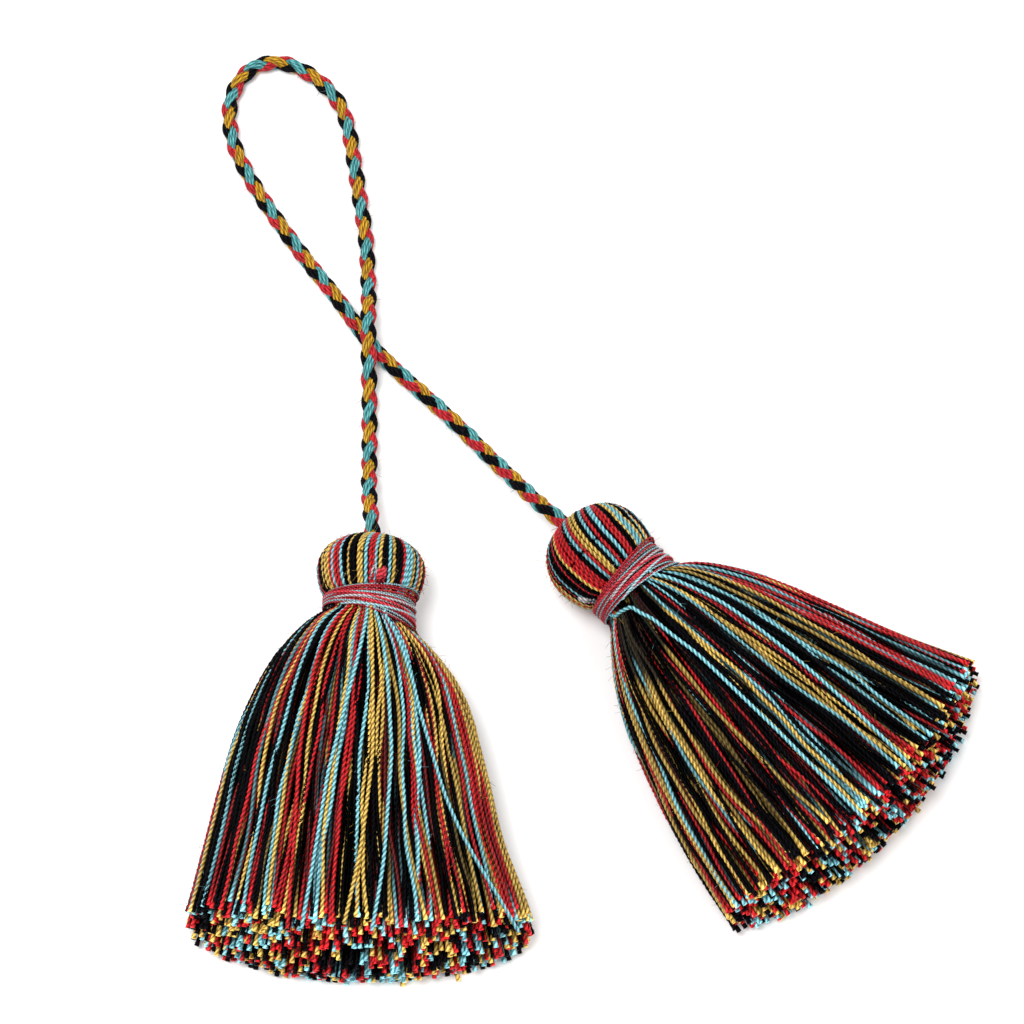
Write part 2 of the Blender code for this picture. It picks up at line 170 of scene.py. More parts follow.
# Knotted thread ends on a head: colour, angle from the top, width, length, thickness.
Knot = namedtuple("Knot", "kind angle width length thick")
KNOTS = {
    "left": (Knot("r", 0.29, 0.9, 2.7, 0.95), Knot("r", 0.21, 0.7, 2.2, 0.8),
             Knot("p", 0.12, 1.7, 2.9, 0.5)),
    "right": (Knot("p", -1.26, 1.2, 2.0, 0.8),),
}
# Each thread's finish name, its groove colour, which is painted shade, and its crown colour, which is
# painted highlight.
THREADS = {
    "r": ("red_thread", (0.24, 0.003, 0.010), (0.80, 0.060, 0.085)),
    "t": ("turquoise_thread", (0.14, 0.30, 0.34), (0.56, 0.82, 0.88)),
    "p": ("pale_thread", (0.18, 0.16, 0.17), (0.60, 0.58, 0.60)),
}

# How dark the painted shade is on the side of a yarn that faces its neighbours and the core.
INNER_PAINTED_SHADE = 0.6
HEAD_TINTS, SKIRT_TINTS, THREAD_TINTS = 0.16, 0.26, 0.15
YARN_SHINE, FLOSS_SHINE, BLACK_SHINE = 0.18, 0.2, 0.02
FINE_FIBRES = 1.6
FIBRE_WIDTH = 0.055 * MM
FIBRE_FACING = (0.31, 0.52, 0.79)
HEAD_FIBRES = 55
SKIRT_FIBRES = 70
FLOSS_FIBRES = 80
BRAID_STEP = 0.5 * MM
CORD_PATH_STEP = 3.0 * MM
BRAID_MIDDLE = 0.86 * MM
BRAID_SWING = 0.25 * MM
BRAID_PAUSE = 0.22
STRAND_HALF_WIDTH = 0.74 * MM
STRAND_HALF_DEPTH = 0.38 * MM
STRAND_TWIST = 6.0 * MM
FLOSS_WIDTH = 0.60 * MM
FLOSS_DEPTH = 0.48 * MM
FLOSS_TWIST = 3.5 * MM
CORD_SHOWN = slice(30, -30)
CORD_ROLL = (
    (0.0, -0.2), (0.40, -0.15), (0.5, 0.0), (0.58, -0.1), (0.7, -0.45), (0.85, -0.85), (1.0, -0.95),
)
# Each strand's name, which way it winds, and its angle at the start.
CORD_STRANDS = (
    ("gold", 1, -0.19), ("turquoise", 1, math.pi - 0.19),
    ("red", -1, 0.19), ("black", -1, math.pi + 0.19),
)
# Each strand's groove colour, which is painted shade, and its crown colour, which is painted highlight.
CORD_COLOURS = {
    "gold": ((0.20, 0.08, 0.003), (0.66, 0.37, 0.016)),
    "turquoise": ((0.018, 0.12, 0.13), (0.13, 0.46, 0.47)),
    "red": ((0.20, 0.002, 0.006), (0.60, 0.018, 0.026)),
    "black": ((0.001, 0.001, 0.002), (0.008, 0.008, 0.010)),
}

LIGHTS = (
    ("key", (-0.22, -0.05, 0.85), 0.42, 6.2),
    ("fill", (0.45, -0.35, 0.6), 0.40, 1.5),
    ("rim", (0.15, 0.6, 0.5), 0.30, 1.4),
)
WORLD_STRENGTH = 0.60


def colour_property(name, default):
    return FloatVectorProperty(
        name=name, description=name + " yarn", default=default, subtype="COLOR", size=3
    )


def length_property(name, description, default, **limits):
    return FloatProperty(
        name=name, description=description, default=default, unit="LENGTH", **limits
    )


class TasselYarnSettings(bpy.types.PropertyGroup):
    """The yarn that the heads, skirts and cord are made of."""

    width: length_property("Yarn width", "Across both plies", 0.86 * MM, min=0.1 * MM)
    thickness: length_property("Yarn thickness", "Across one ply", 0.68 * MM, min=0.1 * MM)
    twist: length_property("Twist", "Length of one full turn of the plies", 2.4 * MM, min=0.5 * MM)
    # Each colour below is painted highlight on the plies' crowns, and its partner in the grooves is
    # painted shade; the yarn's own colour lies between them.
    red: colour_property("Red", (0.63, 0.012, 0.016))
    red_painted_shade: colour_property("Red in the grooves", (0.085, 0.0008, 0.002))
    gold: colour_property("Gold", (0.74, 0.50, 0.115))
    gold_painted_shade: colour_property("Gold in the grooves", (0.17, 0.085, 0.010))
    turquoise: colour_property("Turquoise", (0.27, 0.62, 0.69))
    turquoise_painted_shade: colour_property("Turquoise in the grooves", (0.030, 0.15, 0.18))
    black: colour_property("Black", (0.0045, 0.004, 0.0055))
    black_painted_shade: colour_property("Black in the grooves", (0.0008, 0.0006, 0.001))


class TasselSkirtSettings(bpy.types.PropertyGroup):
    """How the loose yarns of a skirt lie."""

    rings: IntProperty(
        name="Rings", description="Rings of yarns about the neck's middle, six more on each",
        default=19, min=6, max=20,
    )
    outer_yarns: IntProperty(
        name="Outer yarns", description="Yarns in the outermost ring", default=176, min=36, max=190,
    )
    ripple: length_property("Ripple", "How far a yarn strays from its line", 0.60 * MM)
    unevenness: length_property("Hem unevenness", "How unevenly the hem is cut", 0.9 * MM)


class TasselHeadSettings(bpy.types.PropertyGroup):
    """The folded yarns of a head, and the thread that binds its neck."""

    yarns: IntProperty(
        name="Head yarns", description="Yarns folded down round the head", default=88, min=12,
    )
    thread_width: length_property("Thread width", "Thickness of the binding's thread", 0.52 * MM)


class TasselCordSettings(bpy.types.PropertyGroup):
    """The round braid of four strands."""

    crossing: length_property(
        "Crossing", "Length of cord from one diamond to the next in its column", 4.63 * MM
    )
    floss: IntProperty(
        name="Floss", description="Fine yarns twisted together in a strand", default=7, min=1,
    )


class TasselStageSettings(bpy.types.PropertyGroup):
    """The floor, the lights and the camera."""

    floor: FloatVectorProperty(
        name="Floor", description="Colour of the floor", default=(0.93, 0.93, 0.93), subtype="COLOR",
        size=3,
    )
    elevation: FloatProperty(
        name="Elevation", description="Camera's height angle", default=math.radians(70.0),
        subtype="ANGLE",
    )
    distance: length_property("Distance", "From the camera to the middle of its view", 0.7)
    view_width: length_property(
        "View width", "Width that the view covers at that distance", 0.2048
    )


def plug_in(tree, plug, value):
    """Links an input to a socket, or sets its value."""
    if isinstance(value, Socket):
        tree.links.new(value.output, plug)
    else:
        plug.default_value = value


class Socket:
    """An output in a node tree whose operators add Math nodes."""

    def __init__(self, tree, output):
        self.tree = tree
        self.output = output

    def maths(self, operation, *operands):
        made = self.tree.nodes.new("ShaderNodeMath")
        made.operation = operation
        for plug, operand in zip(made.inputs, operands):
            plug_in(self.tree, plug, operand)
        return Socket(self.tree, made.outputs[0])

    def __add__(self, other):
        return self.maths("ADD", self, other)

    def __sub__(self, other):
        return self.maths("SUBTRACT", self, other)

    def __mul__(self, other):
        return self.maths("MULTIPLY", self, other)

    def __rmul__(self, other):
        return self.maths("MULTIPLY", other, self)

    def __pow__(self, other):
        return self.maths("POWER", self, other)

    def __abs__(self):
        return self.maths("ABSOLUTE", self)

    def cosine(self):
        return self.maths("COSINE", self)


class Finish:
    """A material under construction."""

    def __init__(self, name):
        self.material = bpy.data.materials.new(name)
        self.material.use_nodes = True
        self.tree = self.material.node_tree
        self.shader = self.tree.nodes["Principled BSDF"]

    def node(self, kind, settings=None, output=0, **sockets):
        """A node of a kind, its settings made first, then its sockets' values or links."""
        made = self.tree.nodes.new(kind)
        for key, value in (settings or {}).items():
            setattr(made, key, value)
        for key, value in sockets.items():
            plug_in(self.tree, made.inputs[int(key[1:]) if key[1:].isdigit() else key], value)
        return Socket(self.tree, made.outputs[output])

    def set(self, **sockets):
        for key, value in sockets.items():
            plug_in(self.tree, self.shader.inputs[key.replace("_", " ")], value)


def yarn_finish(name, deep, pale, shine=YARN_SHINE, fibre_scale=1.0):
    """Plied yarn: painted shade in the grooves between the plies, painted highlight on their crowns, fine
    fibres and a soft gloss.
    """
    if name in bpy.data.materials:
        return bpy.data.materials[name]
    finish = Finish(name)
    place = finish.node("ShaderNodeUVMap", {"uv_map": "yarn"})
    around = finish.node("ShaderNodeSeparateXYZ", Vector=place)
    crest = abs((around * math.tau).cosine())
    stretched = finish.node(
        "ShaderNodeMapping", Vector=place, Scale=(9.0 * fibre_scale, 1.3 * fibre_scale, 1.0)
    )
    fibre = finish.node(
        "ShaderNodeTexNoise", {"noise_dimensions": "2D"}, Vector=stretched, Scale=1.0, Detail=2.0,
        Roughness=0.6,
    )
    # Each yarn's own tone, with painted shade and painted highlight multiplied in.
    tint = finish.node("ShaderNodeAttribute", {"attribute_name": "tint"}, output=2)
    # The deep colour is painted shade and the pale one painted highlight; the crest pattern and fibre
    # noise mix them.
    crown = crest**2.0 * 0.95 + (fibre - 0.45) * 0.9
    blended = finish.node(
        "ShaderNodeMix", {"data_type": "RGBA"}, output=2, _0=crown, _6=(*deep, 1.0),
        _7=(*pale, 1.0),
    )
    paint = finish.node("ShaderNodeVectorMath", {"operation": "SCALE"}, _0=blended, Scale=tint)
    height = crest**0.5 + 0.4 * fibre
    bump = finish.node("ShaderNodeBump", Strength=0.7, Distance=0.12 * MM, Height=height)
    finish.set(
        Base_Color=paint, Roughness=0.46, Normal=bump, Specular_IOR_Level=shine,
    )
    return finish.material


def unit(vectors):
    return vectors / np.maximum(np.linalg.norm(vectors, axis=-1, keepdims=True), 1e-12)


def travelled(paths):
    """The distance along each path at each of its points."""
    steps = np.linalg.norm(np.diff(paths, axis=1), axis=-1)
    return np.concatenate([np.zeros((len(paths), 1)), np.cumsum(steps, axis=1)], axis=1)


def evened(paths, rings):
    """The same paths with points at even distances."""
    distance = travelled(paths)
    made = np.empty((len(paths), rings, 3))
    for index, (path, reach) in enumerate(zip(paths, distance)):
        wanted = np.linspace(0.0, reach[-1], rings)
        for axis in range(3):
            made[index, :, axis] = np.interp(wanted, reach, path[:, axis])
    return made


class YarnMesh:
    """Gathers swept yarns and makes one mesh of them, with UVs, and for each yarn its tone with painted
    shade, and at skirt tips painted highlight, multiplied in.
    """

    def __init__(self):
        self.points, self.quads, self.caps = [], [], []
        self.quad_uvs, self.cap_uvs, self.tints = [], [], []
        self.count = 0

    def sweep(self, paths, outward, wide, thick, sides, turn, twisted, tints, size=None):
        """Adds yarns along paths (yarn, ring, xyz). turn is the plies' angle at each ring, and
        twisted says that the section itself turns; otherwise only the pattern on it does."""
        yarns, rings, _ = paths.shape
        forward = unit(np.gradient(paths, axis=1))
        beside = unit(np.cross(forward, outward))
        upright = np.cross(beside, forward)
        angle = math.tau * np.arange(sides) / sides
        across = wide / 2 * np.cos(angle)
        rise = thick / 2 * np.sin(angle)
        spin = turn[..., None] if twisted else np.zeros((yarns, rings, 1))
        x = across * np.cos(spin) - rise * np.sin(spin)
        y = across * np.sin(spin) + rise * np.cos(spin)
        if size is not None:
            x, y = x * size[..., None], y * size[..., None]
        made = (
            paths[:, :, None, :]
            + x[..., None] * beside[:, :, None, :]
            + y[..., None] * upright[:, :, None, :]
        )
        start = self.count + sides * rings * np.arange(yarns)[:, None, None]
        ring = sides * np.arange(rings - 1)[None, :, None]
        here = np.arange(sides)[None, None, :]
        after = (here + 1) % sides
        quads = np.stack([start + ring + here, start + ring + sides + here,
                          start + ring + sides + after, start + ring + after], axis=-1)
        self.quads.append(quads.reshape(-1, 4))
        first = self.count + sides * rings * np.arange(yarns)[:, None] + np.arange(sides)
        last = first + sides * (rings - 1)
        self.caps.append((np.concatenate([first, last[:, ::-1]]), sides))

        reach = travelled(paths) / MM
        shift = np.zeros_like(turn) if twisted else -turn / math.tau
        u_here = here / sides + shift[:, :-1, None]
        u_next = here / sides + shift[:, 1:, None]
        v_here = np.broadcast_to(reach[:, :-1, None], u_here.shape)
        v_next = np.broadcast_to(reach[:, 1:, None], u_here.shape)
        step = 1 / sides
        uvs = np.stack([
            np.stack([u_here, v_here], -1), np.stack([u_next, v_next], -1),
            np.stack([u_next + step, v_next], -1), np.stack([u_here + step, v_here], -1),
        ], axis=-2)
        self.quad_uvs.append(uvs.reshape(-1, 2))
        # The cut ends' caps sit on the crowns in the UV map, so they take the painted highlight colour.
        self.cap_uvs.append(np.full((2 * yarns * sides, 2), 0.02))
        self.points.append(made.reshape(-1, 3))
        # Painted shade: the side of a yarn that faces its neighbours and the core is painted darker, for
        # the shade that falls between them.
        facing = (across * np.sin(spin) + rise * np.cos(spin)) / (thick / 2)
        painted_inner_shade = INNER_PAINTED_SHADE * np.clip(0.5 - 0.75 * facing, 0.0, 1.0)
        shades = np.broadcast_to(tints, (yarns, rings))[..., None] * (1.0 - painted_inner_shade)
        self.tints.append(shades.reshape(-1))
        self.count += yarns * rings * sides

    def piece(self, name, material):
        quads = np.concatenate(self.quads)
        corner_lists = [quads.reshape(-1)]
        sizes = [np.full(len(quads), 4)]
        for caps, sides in self.caps:
            corner_lists.append(caps.reshape(-1))
            sizes.append(np.full(len(caps), sides))
        corners = np.concatenate(corner_lists)
        sizes = np.concatenate(sizes)
        points = np.concatenate(self.points)
        mesh = bpy.data.meshes.new(name)
        mesh.vertices.add(len(points))
        mesh.vertices.foreach_set("co", points.astype(np.float32).reshape(-1))
        mesh.loops.add(len(corners))
        mesh.loops.foreach_set("vertex_index", corners.astype(np.int32))
        mesh.polygons.add(len(sizes))
        starts = np.concatenate([[0], np.cumsum(sizes)[:-1]])
        mesh.polygons.foreach_set("loop_start", starts.astype(np.int32))
        mesh.polygons.foreach_set("use_smooth", np.ones(len(sizes), dtype=bool))
        mesh.update(calc_edges=True)
        uvs = np.concatenate(self.quad_uvs + self.cap_uvs)
        mesh.uv_layers.new(name="yarn").data.foreach_set("uv", uvs.astype(np.float32).reshape(-1))
        tint = mesh.attributes.new("tint", "FLOAT", "POINT")
        tint.data.foreach_set("value", np.concatenate(self.tints).astype(np.float32))
        mesh.materials.append(material)
        made = bpy.data.objects.new(name, mesh)
        bpy.context.scene.collection.objects.link(made)
        return made


def hermite_column(rows, column, wanted):
    """A column of a table of sections, read smoothly between its rows, at many places."""
    along = np.array([row.along for row in rows], float)
    value = np.array([getattr(row, column) for row in rows], float)
    low = np.clip(np.searchsorted(along, wanted, side="left") - 1, 0, len(rows) - 2)
    high, before, after = low + 1, np.maximum(low - 1, 0), np.minimum(low + 2, len(rows) - 1)
    span = along[high] - along[low]
    share = np.clip((wanted - along[low]) / span, 0.0, 1.0)
    slope_in = (value[high] - value[before]) / (along[high] - along[before]) * span
    slope_out = (value[after] - value[low]) / (along[after] - along[low]) * span
    cube, square = share**3, share**2
    return (
        (2 * cube - 3 * square + 1) * value[low] + (cube - 2 * square + share) * slope_in
        + (3 * square - 2 * cube) * value[high] + (cube - square) * slope_out
    )


def leaned(tassel, points):
    """Shifts points along the axis as the binding's skew does, most at the neck's end face."""
    along, side = points[..., 0], np.clip(points[..., 1], -NECK_RADIUS, NECK_RADIUS)
    behind = np.clip(1.0 + along / (tassel.binding_length * MM), 0.0, 1.0)
    ahead = np.clip(1.0 - along / LEAN_FADE, 0.0, 1.0)
    share = np.where(along < 0, behind, ahead)
    moved = points.copy()
    moved[..., 0] += share * side * math.tan(math.radians(tassel.binding_skew))
    return moved


def skirt_points(tassel, across, upward, along, inset):
    """Where yarns that start at (across, upward) in the neck's unit disc are at distances along."""
    reach = np.maximum(along, 0.0)
    rows, where = tassel.skirt_mm, reach / MM
    left = hermite_column(rows, "left_width", where) * MM - inset
    right = hermite_column(rows, "right_width", where) * MM - inset
    top = hermite_column(rows, "top", where) * MM - inset
    widest = hermite_column(rows, "widest_at", where) * MM
    settled = np.minimum(reach / TABLE_REACHED_AT, 1.0)
    settled = settled * settled * (3.0 - 2.0 * settled)
    floor = (AXIS_HEIGHT - NECK_RADIUS + inset) * (1.0 - settled) + inset * settled
    power = ROUND_POWER + (FLAT_POWER - ROUND_POWER) * settled
    side = across * ((left + right) / 2 + (left - right) / 2 * across)
    chord = np.sqrt(np.maximum(1.0 - across**2, 0.0))
    level = np.clip(upward / np.maximum(chord, 1e-9), -1.0, 1.0)
    flat = np.clip(np.abs(across), 0.0, 1.0)
    over = (1.0 - flat**ROUND_POWER) ** (1.0 / ROUND_POWER)
    under = (1.0 - flat**power) ** (1.0 / power)
    highest = widest + (top - widest) * over
    lowest = widest - (widest - floor) * under
    height = lowest + (highest - lowest) * (level + 1.0) / 2
    return leaned(tassel, np.stack([along, side, height], axis=-1))


def placed(tassel, points):
    """Points from a tassel's own axes to the part's frame."""
    turn = math.radians(tassel.heading)
    cos, sin = math.cos(turn), math.sin(turn)
    x = points[..., 0] * cos - points[..., 1] * sin
    y = points[..., 0] * sin + points[..., 1] * cos
    x += (tassel.neck_x - LAYOUT_MIDDLE_MM.x) * MM
    y += (tassel.neck_y - LAYOUT_MIDDLE_MM.y) * MM
    return np.stack([x, y, points[..., 2]], axis=-1)


def drawn_column(draw, low, high, count):
    """Random numbers between low and high, one for each of a count of yarns."""
    return np.array([draw.uniform(low, high) for _ in range(count)])[:, None]


def lettered(letter):
    return [name[0] for name in COLOUR_NAMES].index(letter)


def coloured_in_runs(draw, count, top=""):
    """A colour's number for each of a row of yarns round a tassel, like ones often side by side.

    The row starts at the tassel's left side and goes over its top first. Letters in top set the
    colours there, read from the tassel's right to its left.
    """
    picked = []
    while len(picked) < count:
        colour = draw.choices(range(len(COLOUR_NAMES)), SKIRT_CHANCES)[0]
        picked += [colour] * draw.randint(1, LONGEST_RUN)
    for place, letter in enumerate(reversed(top)):
        picked[place] = lettered(letter)
    return np.array(picked[:count])


def skirt_yarns(tassel, settings, draw):
    """Each skirt yarn's place in the neck's disc, its ring's number, and its colour."""
    across, upward, ring_of, colour = [], [], [], []
    top = SKIRT_TOPS[tassel.name]
    for ring in range(1, settings.rings + 1):
        outermost = ring == settings.rings
        count = settings.outer_yarns if outermost else 6 * ring
        share = (ring / settings.rings) ** RING_CROWDING
        picked = coloured_in_runs(draw, count)
        for place in range(count):
            jitter = draw.uniform(-0.36, 0.36)
            angle = math.tau * (place + jitter + 0.5 * (1 + ring % 2)) / count
            radius = share + draw.uniform(-0.35, 0.35) / settings.rings
            radius = min(radius, draw.uniform(0.95, 1.0))
            across.append(radius * math.cos(angle))
            upward.append(radius * math.sin(angle))
            ring_of.append(ring)
            own = picked[place]
            if upward[-1] > 0 and outermost:
                # Towards a side, where many yarns share one letter's width, neighbours mix.
                mixed = draw.gauss(0.0, 1.0) * max(abs(math.cos(angle)) - 0.7, 0.0) * 7.0
                letter = int((math.cos(angle) + 1) / 2 * len(top) + mixed)
                own = lettered(top[min(max(letter, 0), len(top) - 1)])
            elif upward[-1] > 0 and ring > settings.rings - 3 and draw.random() < BLACK_UNDER:
                own = COLOUR_NAMES.index("black")
            colour.append(own)
    return tuple(np.array(column) for column in (across, upward, ring_of, colour))


def skirt_paths(tassel, across, upward, settings, yarn, draw, rings):
    """The yarns' lines from inside the binding to the trimmed hem, rippled and straying a little."""
    count = len(across)
    inset = yarn.thickness / 2 + 0.1 * MM
    high_share = np.clip((upward + 0.4) / 1.4, 0.0, 1.0)
    radius = (tassel.hem_low + (tassel.hem_high - tassel.hem_low) * high_share) * MM
    near, far = np.zeros(count), np.full(count, tassel.hem_low * MM)
    for _ in range(HEM_SEARCHES):
        middle = (near + far) / 2
        found = skirt_points(tassel, across, upward, middle, inset)
        short = np.hypot(found[:, 0] + tassel.binding_length * MM / 2, found[:, 1]) < radius
        near, far = np.where(short, middle, near), np.where(short, far, middle)
    uneven = settings.unevenness * (0.35 + 0.45 * high_share)
    end = near + uneven * np.array([max(-2.0, min(2.0, draw.gauss(0, 1))) for _ in range(count)])
    start = -0.45 * tassel.binding_length * MM
    share = np.concatenate([np.linspace(0.0, 0.984, rings - 2), [0.992, 1.0]])[None, :]
    along = start + (end[:, None] - start) * share
    spread = np.maximum(hermite_column(tassel.skirt_mm, "left_width", np.maximum(along, 0) / MM), 8.5)
    loose = np.clip(along / (14 * MM), 0.0, 1.0)

    def random_column(low, high):
        return drawn_column(draw, low, high, count)

    def ripple(size=1.0):
        long_wave = np.sin(along / random_column(7 * MM, 11 * MM) + random_column(0, math.tau))
        short_wave = np.sin(along / random_column(2.2 * MM, 4 * MM) + random_column(0, math.tau))
        return size * settings.ripple / MM * (long_wave + 0.28 * short_wave) * loose / spread

    stray = random_column(-1, 1) ** 3 * STRAY_SHARE * loose * np.clip(share, 0, 1) ** 1.4
    moved_across = across[:, None] + ripple() + stray
    moved_upward = upward[:, None] + ripple(0.6)
    moved_upward = moved_upward + random_column(-1, 1) ** 3 * 0.5 * STRAY_SHARE * loose
    radius = np.hypot(moved_across, moved_upward)
    limit = np.maximum(np.hypot(across, upward)[:, None], 0.4) + 0.03
    squeeze = np.minimum(1.0, np.minimum(limit, 1.0) / np.maximum(radius, 1e-9))
    points = skirt_points(tassel, moved_across * squeeze, moved_upward * squeeze, along, inset)
    points[..., 2] = np.maximum(points[..., 2], yarn.width / 2 * skirt_sizes(points))
    return placed(tassel, points)


def bowed_path(tassel, table, yarn, rings):
    """The line of a loose yarn that lies on top of the skirt."""
    along_mm, across = np.array(table, float).T
    share = np.linspace(0.0, 1.0, len(table))
    fine = np.linspace(0.0, 1.0, 400)
    along = np.interp(fine, share, along_mm) * MM
    across = np.interp(fine, share, across)
    kernel = np.hanning(41) / np.hanning(41).sum()
    along = np.convolve(np.pad(along, 20, mode="reflect", reflect_type="odd"), kernel, "valid")
    across = np.convolve(np.pad(across, 20, mode="reflect", reflect_type="odd"), kernel, "valid")
    upward = np.sqrt(np.maximum(1.0 - across**2, 0.0))
    points = skirt_points(tassel, across, upward, along, yarn.thickness / 2)
    points[:, 2] += 0.55 * yarn.width
    return placed(tassel, evened(points[None], rings))


def root_shade(tassel, across, upward, ring, settings, reach, draw):
    """How much of a yarn's colour shows along it where black yarns lie over its root."""
    low, high = DARK_ROOTS[tassel.name]
    under = (across > low) & (across < high) & (upward > 0) & (ring > settings.rings - 3)
    start = drawn_column(draw, 7.0, 25.0, len(across)) * MM
    shown = np.clip((reach - start) / (3.0 * MM), 0.04, 1.0)
    return np.where(under[:, None], shown, 1.0)


def skirt_tones_and_painted_light(paths, ring, settings, draw):
    """Each yarn's own tone, with painted highlight at its cut tip and painted shade on the yarns well
    inside the skirt.
    """
    own = tints_of(len(paths), draw, SKIRT_TINTS)
    # Painted shade on the inner rings, fading out near the tips.
    depth = np.clip((settings.rings - ring) / 2.0, 0.0, 1.0)[:, None]
    reach = travelled(paths)
    left = (reach[:, -1:] - reach) / MM
    # Painted highlight: up to two and a half times brighter over the last 1.8 mm of the cut tip.
    tip = 1.0 + 1.5 * np.clip(1.0 - left / 1.8, 0.0, 1.0)
    slow = 1.0 + 0.08 * np.sin(reach / (3.1 * MM) + 40.0 * own)
    return own * slow * tip * (1.0 - 0.8 * depth * np.clip(left / 5.0 - 0.12, 0.0, 1.0))


def skirt_sizes(paths):
    """A yarn is thicker where its plies open at the cut tip, and pressed thinner at the neck."""
    reach = travelled(paths)
    left = (reach[:, -1:] - reach) / MM
    opened = 0.38 * np.clip(1.0 - left / 1.4, 0.0, 1.0)
    return 1.0 + opened - 0.22 * np.clip(1.0 - reach / (26 * MM), 0.0, 1.0)


def skirt_outward(tassel, paths):
    """The direction away from the skirt's axis at each ring of its yarns, upwards on the axis."""
    turn = math.radians(tassel.heading)
    axis = np.array([math.cos(turn), math.sin(turn), 0.0])
    neck = placed(tassel, np.array([0.0, 0.0, AXIS_HEIGHT]))
    away = paths - neck
    away = away - (away @ axis)[..., None] * axis
    return unit(away + np.array([0.0, 0.0, 0.6 * MM]))


def belly_at(tassel):
    """Where along the axis the head is widest."""
    return -(tassel.binding_length + tassel.belly_to_binding) * MM


def pole_reach_of(tassel):
    """How far the head's pole is from its widest part."""
    return (tassel.head_length - tassel.belly_to_binding) * MM


def head_line(tassel, samples=40):
    """The head's outline as (along, radius) for the middle of its yarns, from the pole to the neck."""
    lift = HEAD_YARN_MIDDLE
    belly = belly_at(tassel)
    pole_reach = pole_reach_of(tassel) - lift
    rim = POLE_RADIUS / HEAD_RADIUS
    to_belly = np.linspace(math.asin(rim), math.pi / 2, samples)
    over = np.stack([belly - pole_reach * np.cos(to_belly),
                     (HEAD_RADIUS - lift) * np.sin(to_belly)], -1)
    to_neck = np.linspace(0, math.pi / 2, samples // 2)[1:]
    under = np.stack([
        belly + tassel.belly_to_binding * MM * np.sin(to_neck),
        NECK_RADIUS - lift + (HEAD_RADIUS - NECK_RADIUS) * np.cos(to_neck),
    ], -1)
    pole = over[0]
    inside = np.array([[pole[0] + 1.8 * MM, 1.5 * MM], [pole[0] + 0.5 * MM, 1.75 * MM]])
    tail = np.array([[-0.55 * tassel.binding_length * MM, NECK_RADIUS - lift]])
    return np.concatenate([inside, over, under, tail])


def head_paths(tassel, count, rings, draw):
    """Lines of yarns folded down round the head, and each line's direction away from the axis.

    They start along a slit that runs from the cord to the tassel's left, where the yarns part.
    """
    line = evened(np.pad(head_line(tassel), ((0, 0), (0, 1)))[None], rings)[0]
    along, radius = line[:, 0][None, :], line[:, 1][None, :]
    number = np.arange(count)[:, None]
    wander = drawn_column(draw, -0.5, 0.5, count)
    phase = drawn_column(draw, 0, math.tau, count)
    share = np.linspace(0, 1, rings)[None, :]
    angle = math.pi / 2 - math.tau / count * (number + wander * np.sin(2.6 * share + phase))
    angle = angle + HEAD_SWIRL[tassel.name] * (share - 0.5)
    over = np.clip((belly_at(tassel) - along) / (2 * MM), 0.0, 1.0)
    part = np.clip(1.0 - radius / HEAD_RADIUS, 0.0, 1.0) * over
    turned = np.clip((np.sin(angle) + 0.75) / 0.95, 0.0, 1.0)
    slit = HEAD_SLIT_MM[tassel.name] * MM * turned * turned * (3.0 - 2.0 * turned)
    depth = (number % 3) * 0.30 * MM * np.clip(1.2 - radius / (7.0 * MM), 0, 1)
    depth = depth + 0.10 * MM * np.sin(3 * phase + 5 * share)
    lobes = 0.16 * MM * np.cos(20 * angle) * np.clip(radius / HEAD_RADIUS - 0.3, 0, 1)
    reach = radius - depth + lobes
    drawn_in = 1.0 - 0.86 * np.exp(-((share / 0.13) ** 2)) * np.clip(slit / (3.0 * MM), 0.0, 1.0)
    y, z = reach * np.sin(angle) + slit * part, reach * np.cos(angle) * drawn_in
    moved = np.minimum(np.hypot(y, z), HEAD_RADIUS)
    flatter = np.sqrt(1 - (np.minimum(radius, HEAD_RADIUS) / HEAD_RADIUS) ** 2)
    flatter = flatter - np.sqrt(1 - (moved / HEAD_RADIUS) ** 2)
    shift = np.where(over > 0, pole_reach_of(tassel) * flatter, 0.0)
    parting = 1.1 * MM * np.exp(-((share / 0.15) ** 2)) * (0.3 + 0.7 * turned)
    z = np.maximum(z + AXIS_HEIGHT, 0.44 * MM)
    x = np.broadcast_to(along, y.shape) + shift + depth * 0.4 + parting
    paths = placed(tassel, leaned(tassel, np.stack([x, y, z], -1)))
    heart = placed(tassel, np.array([-9 * MM, 0.0, AXIS_HEIGHT]))
    outward = unit(paths - heart)
    size = np.clip(radius / (5.5 * MM), 0.5, 1.0) * np.ones_like(y)
    return paths, outward, size


def surface_radius(tassel, along):
    """How far from the axis the head, neck and root of the skirt reach at distances along it."""
    line = head_line(tassel)
    where = np.concatenate([line[:, 0], [0.0, 3 * MM]])
    reach = np.concatenate([line[:, 1] + HEAD_YARN_MIDDLE, [NECK_RADIUS, NECK_RADIUS + 3.0 * MM]])
    return np.interp(along, where, reach)


def turn_of(paths, pitch, draw):
    """The plies' angle along each yarn, starting anywhere."""
    start = drawn_column(draw, 0, math.tau, len(paths))
    return start - math.tau * travelled(paths) / pitch


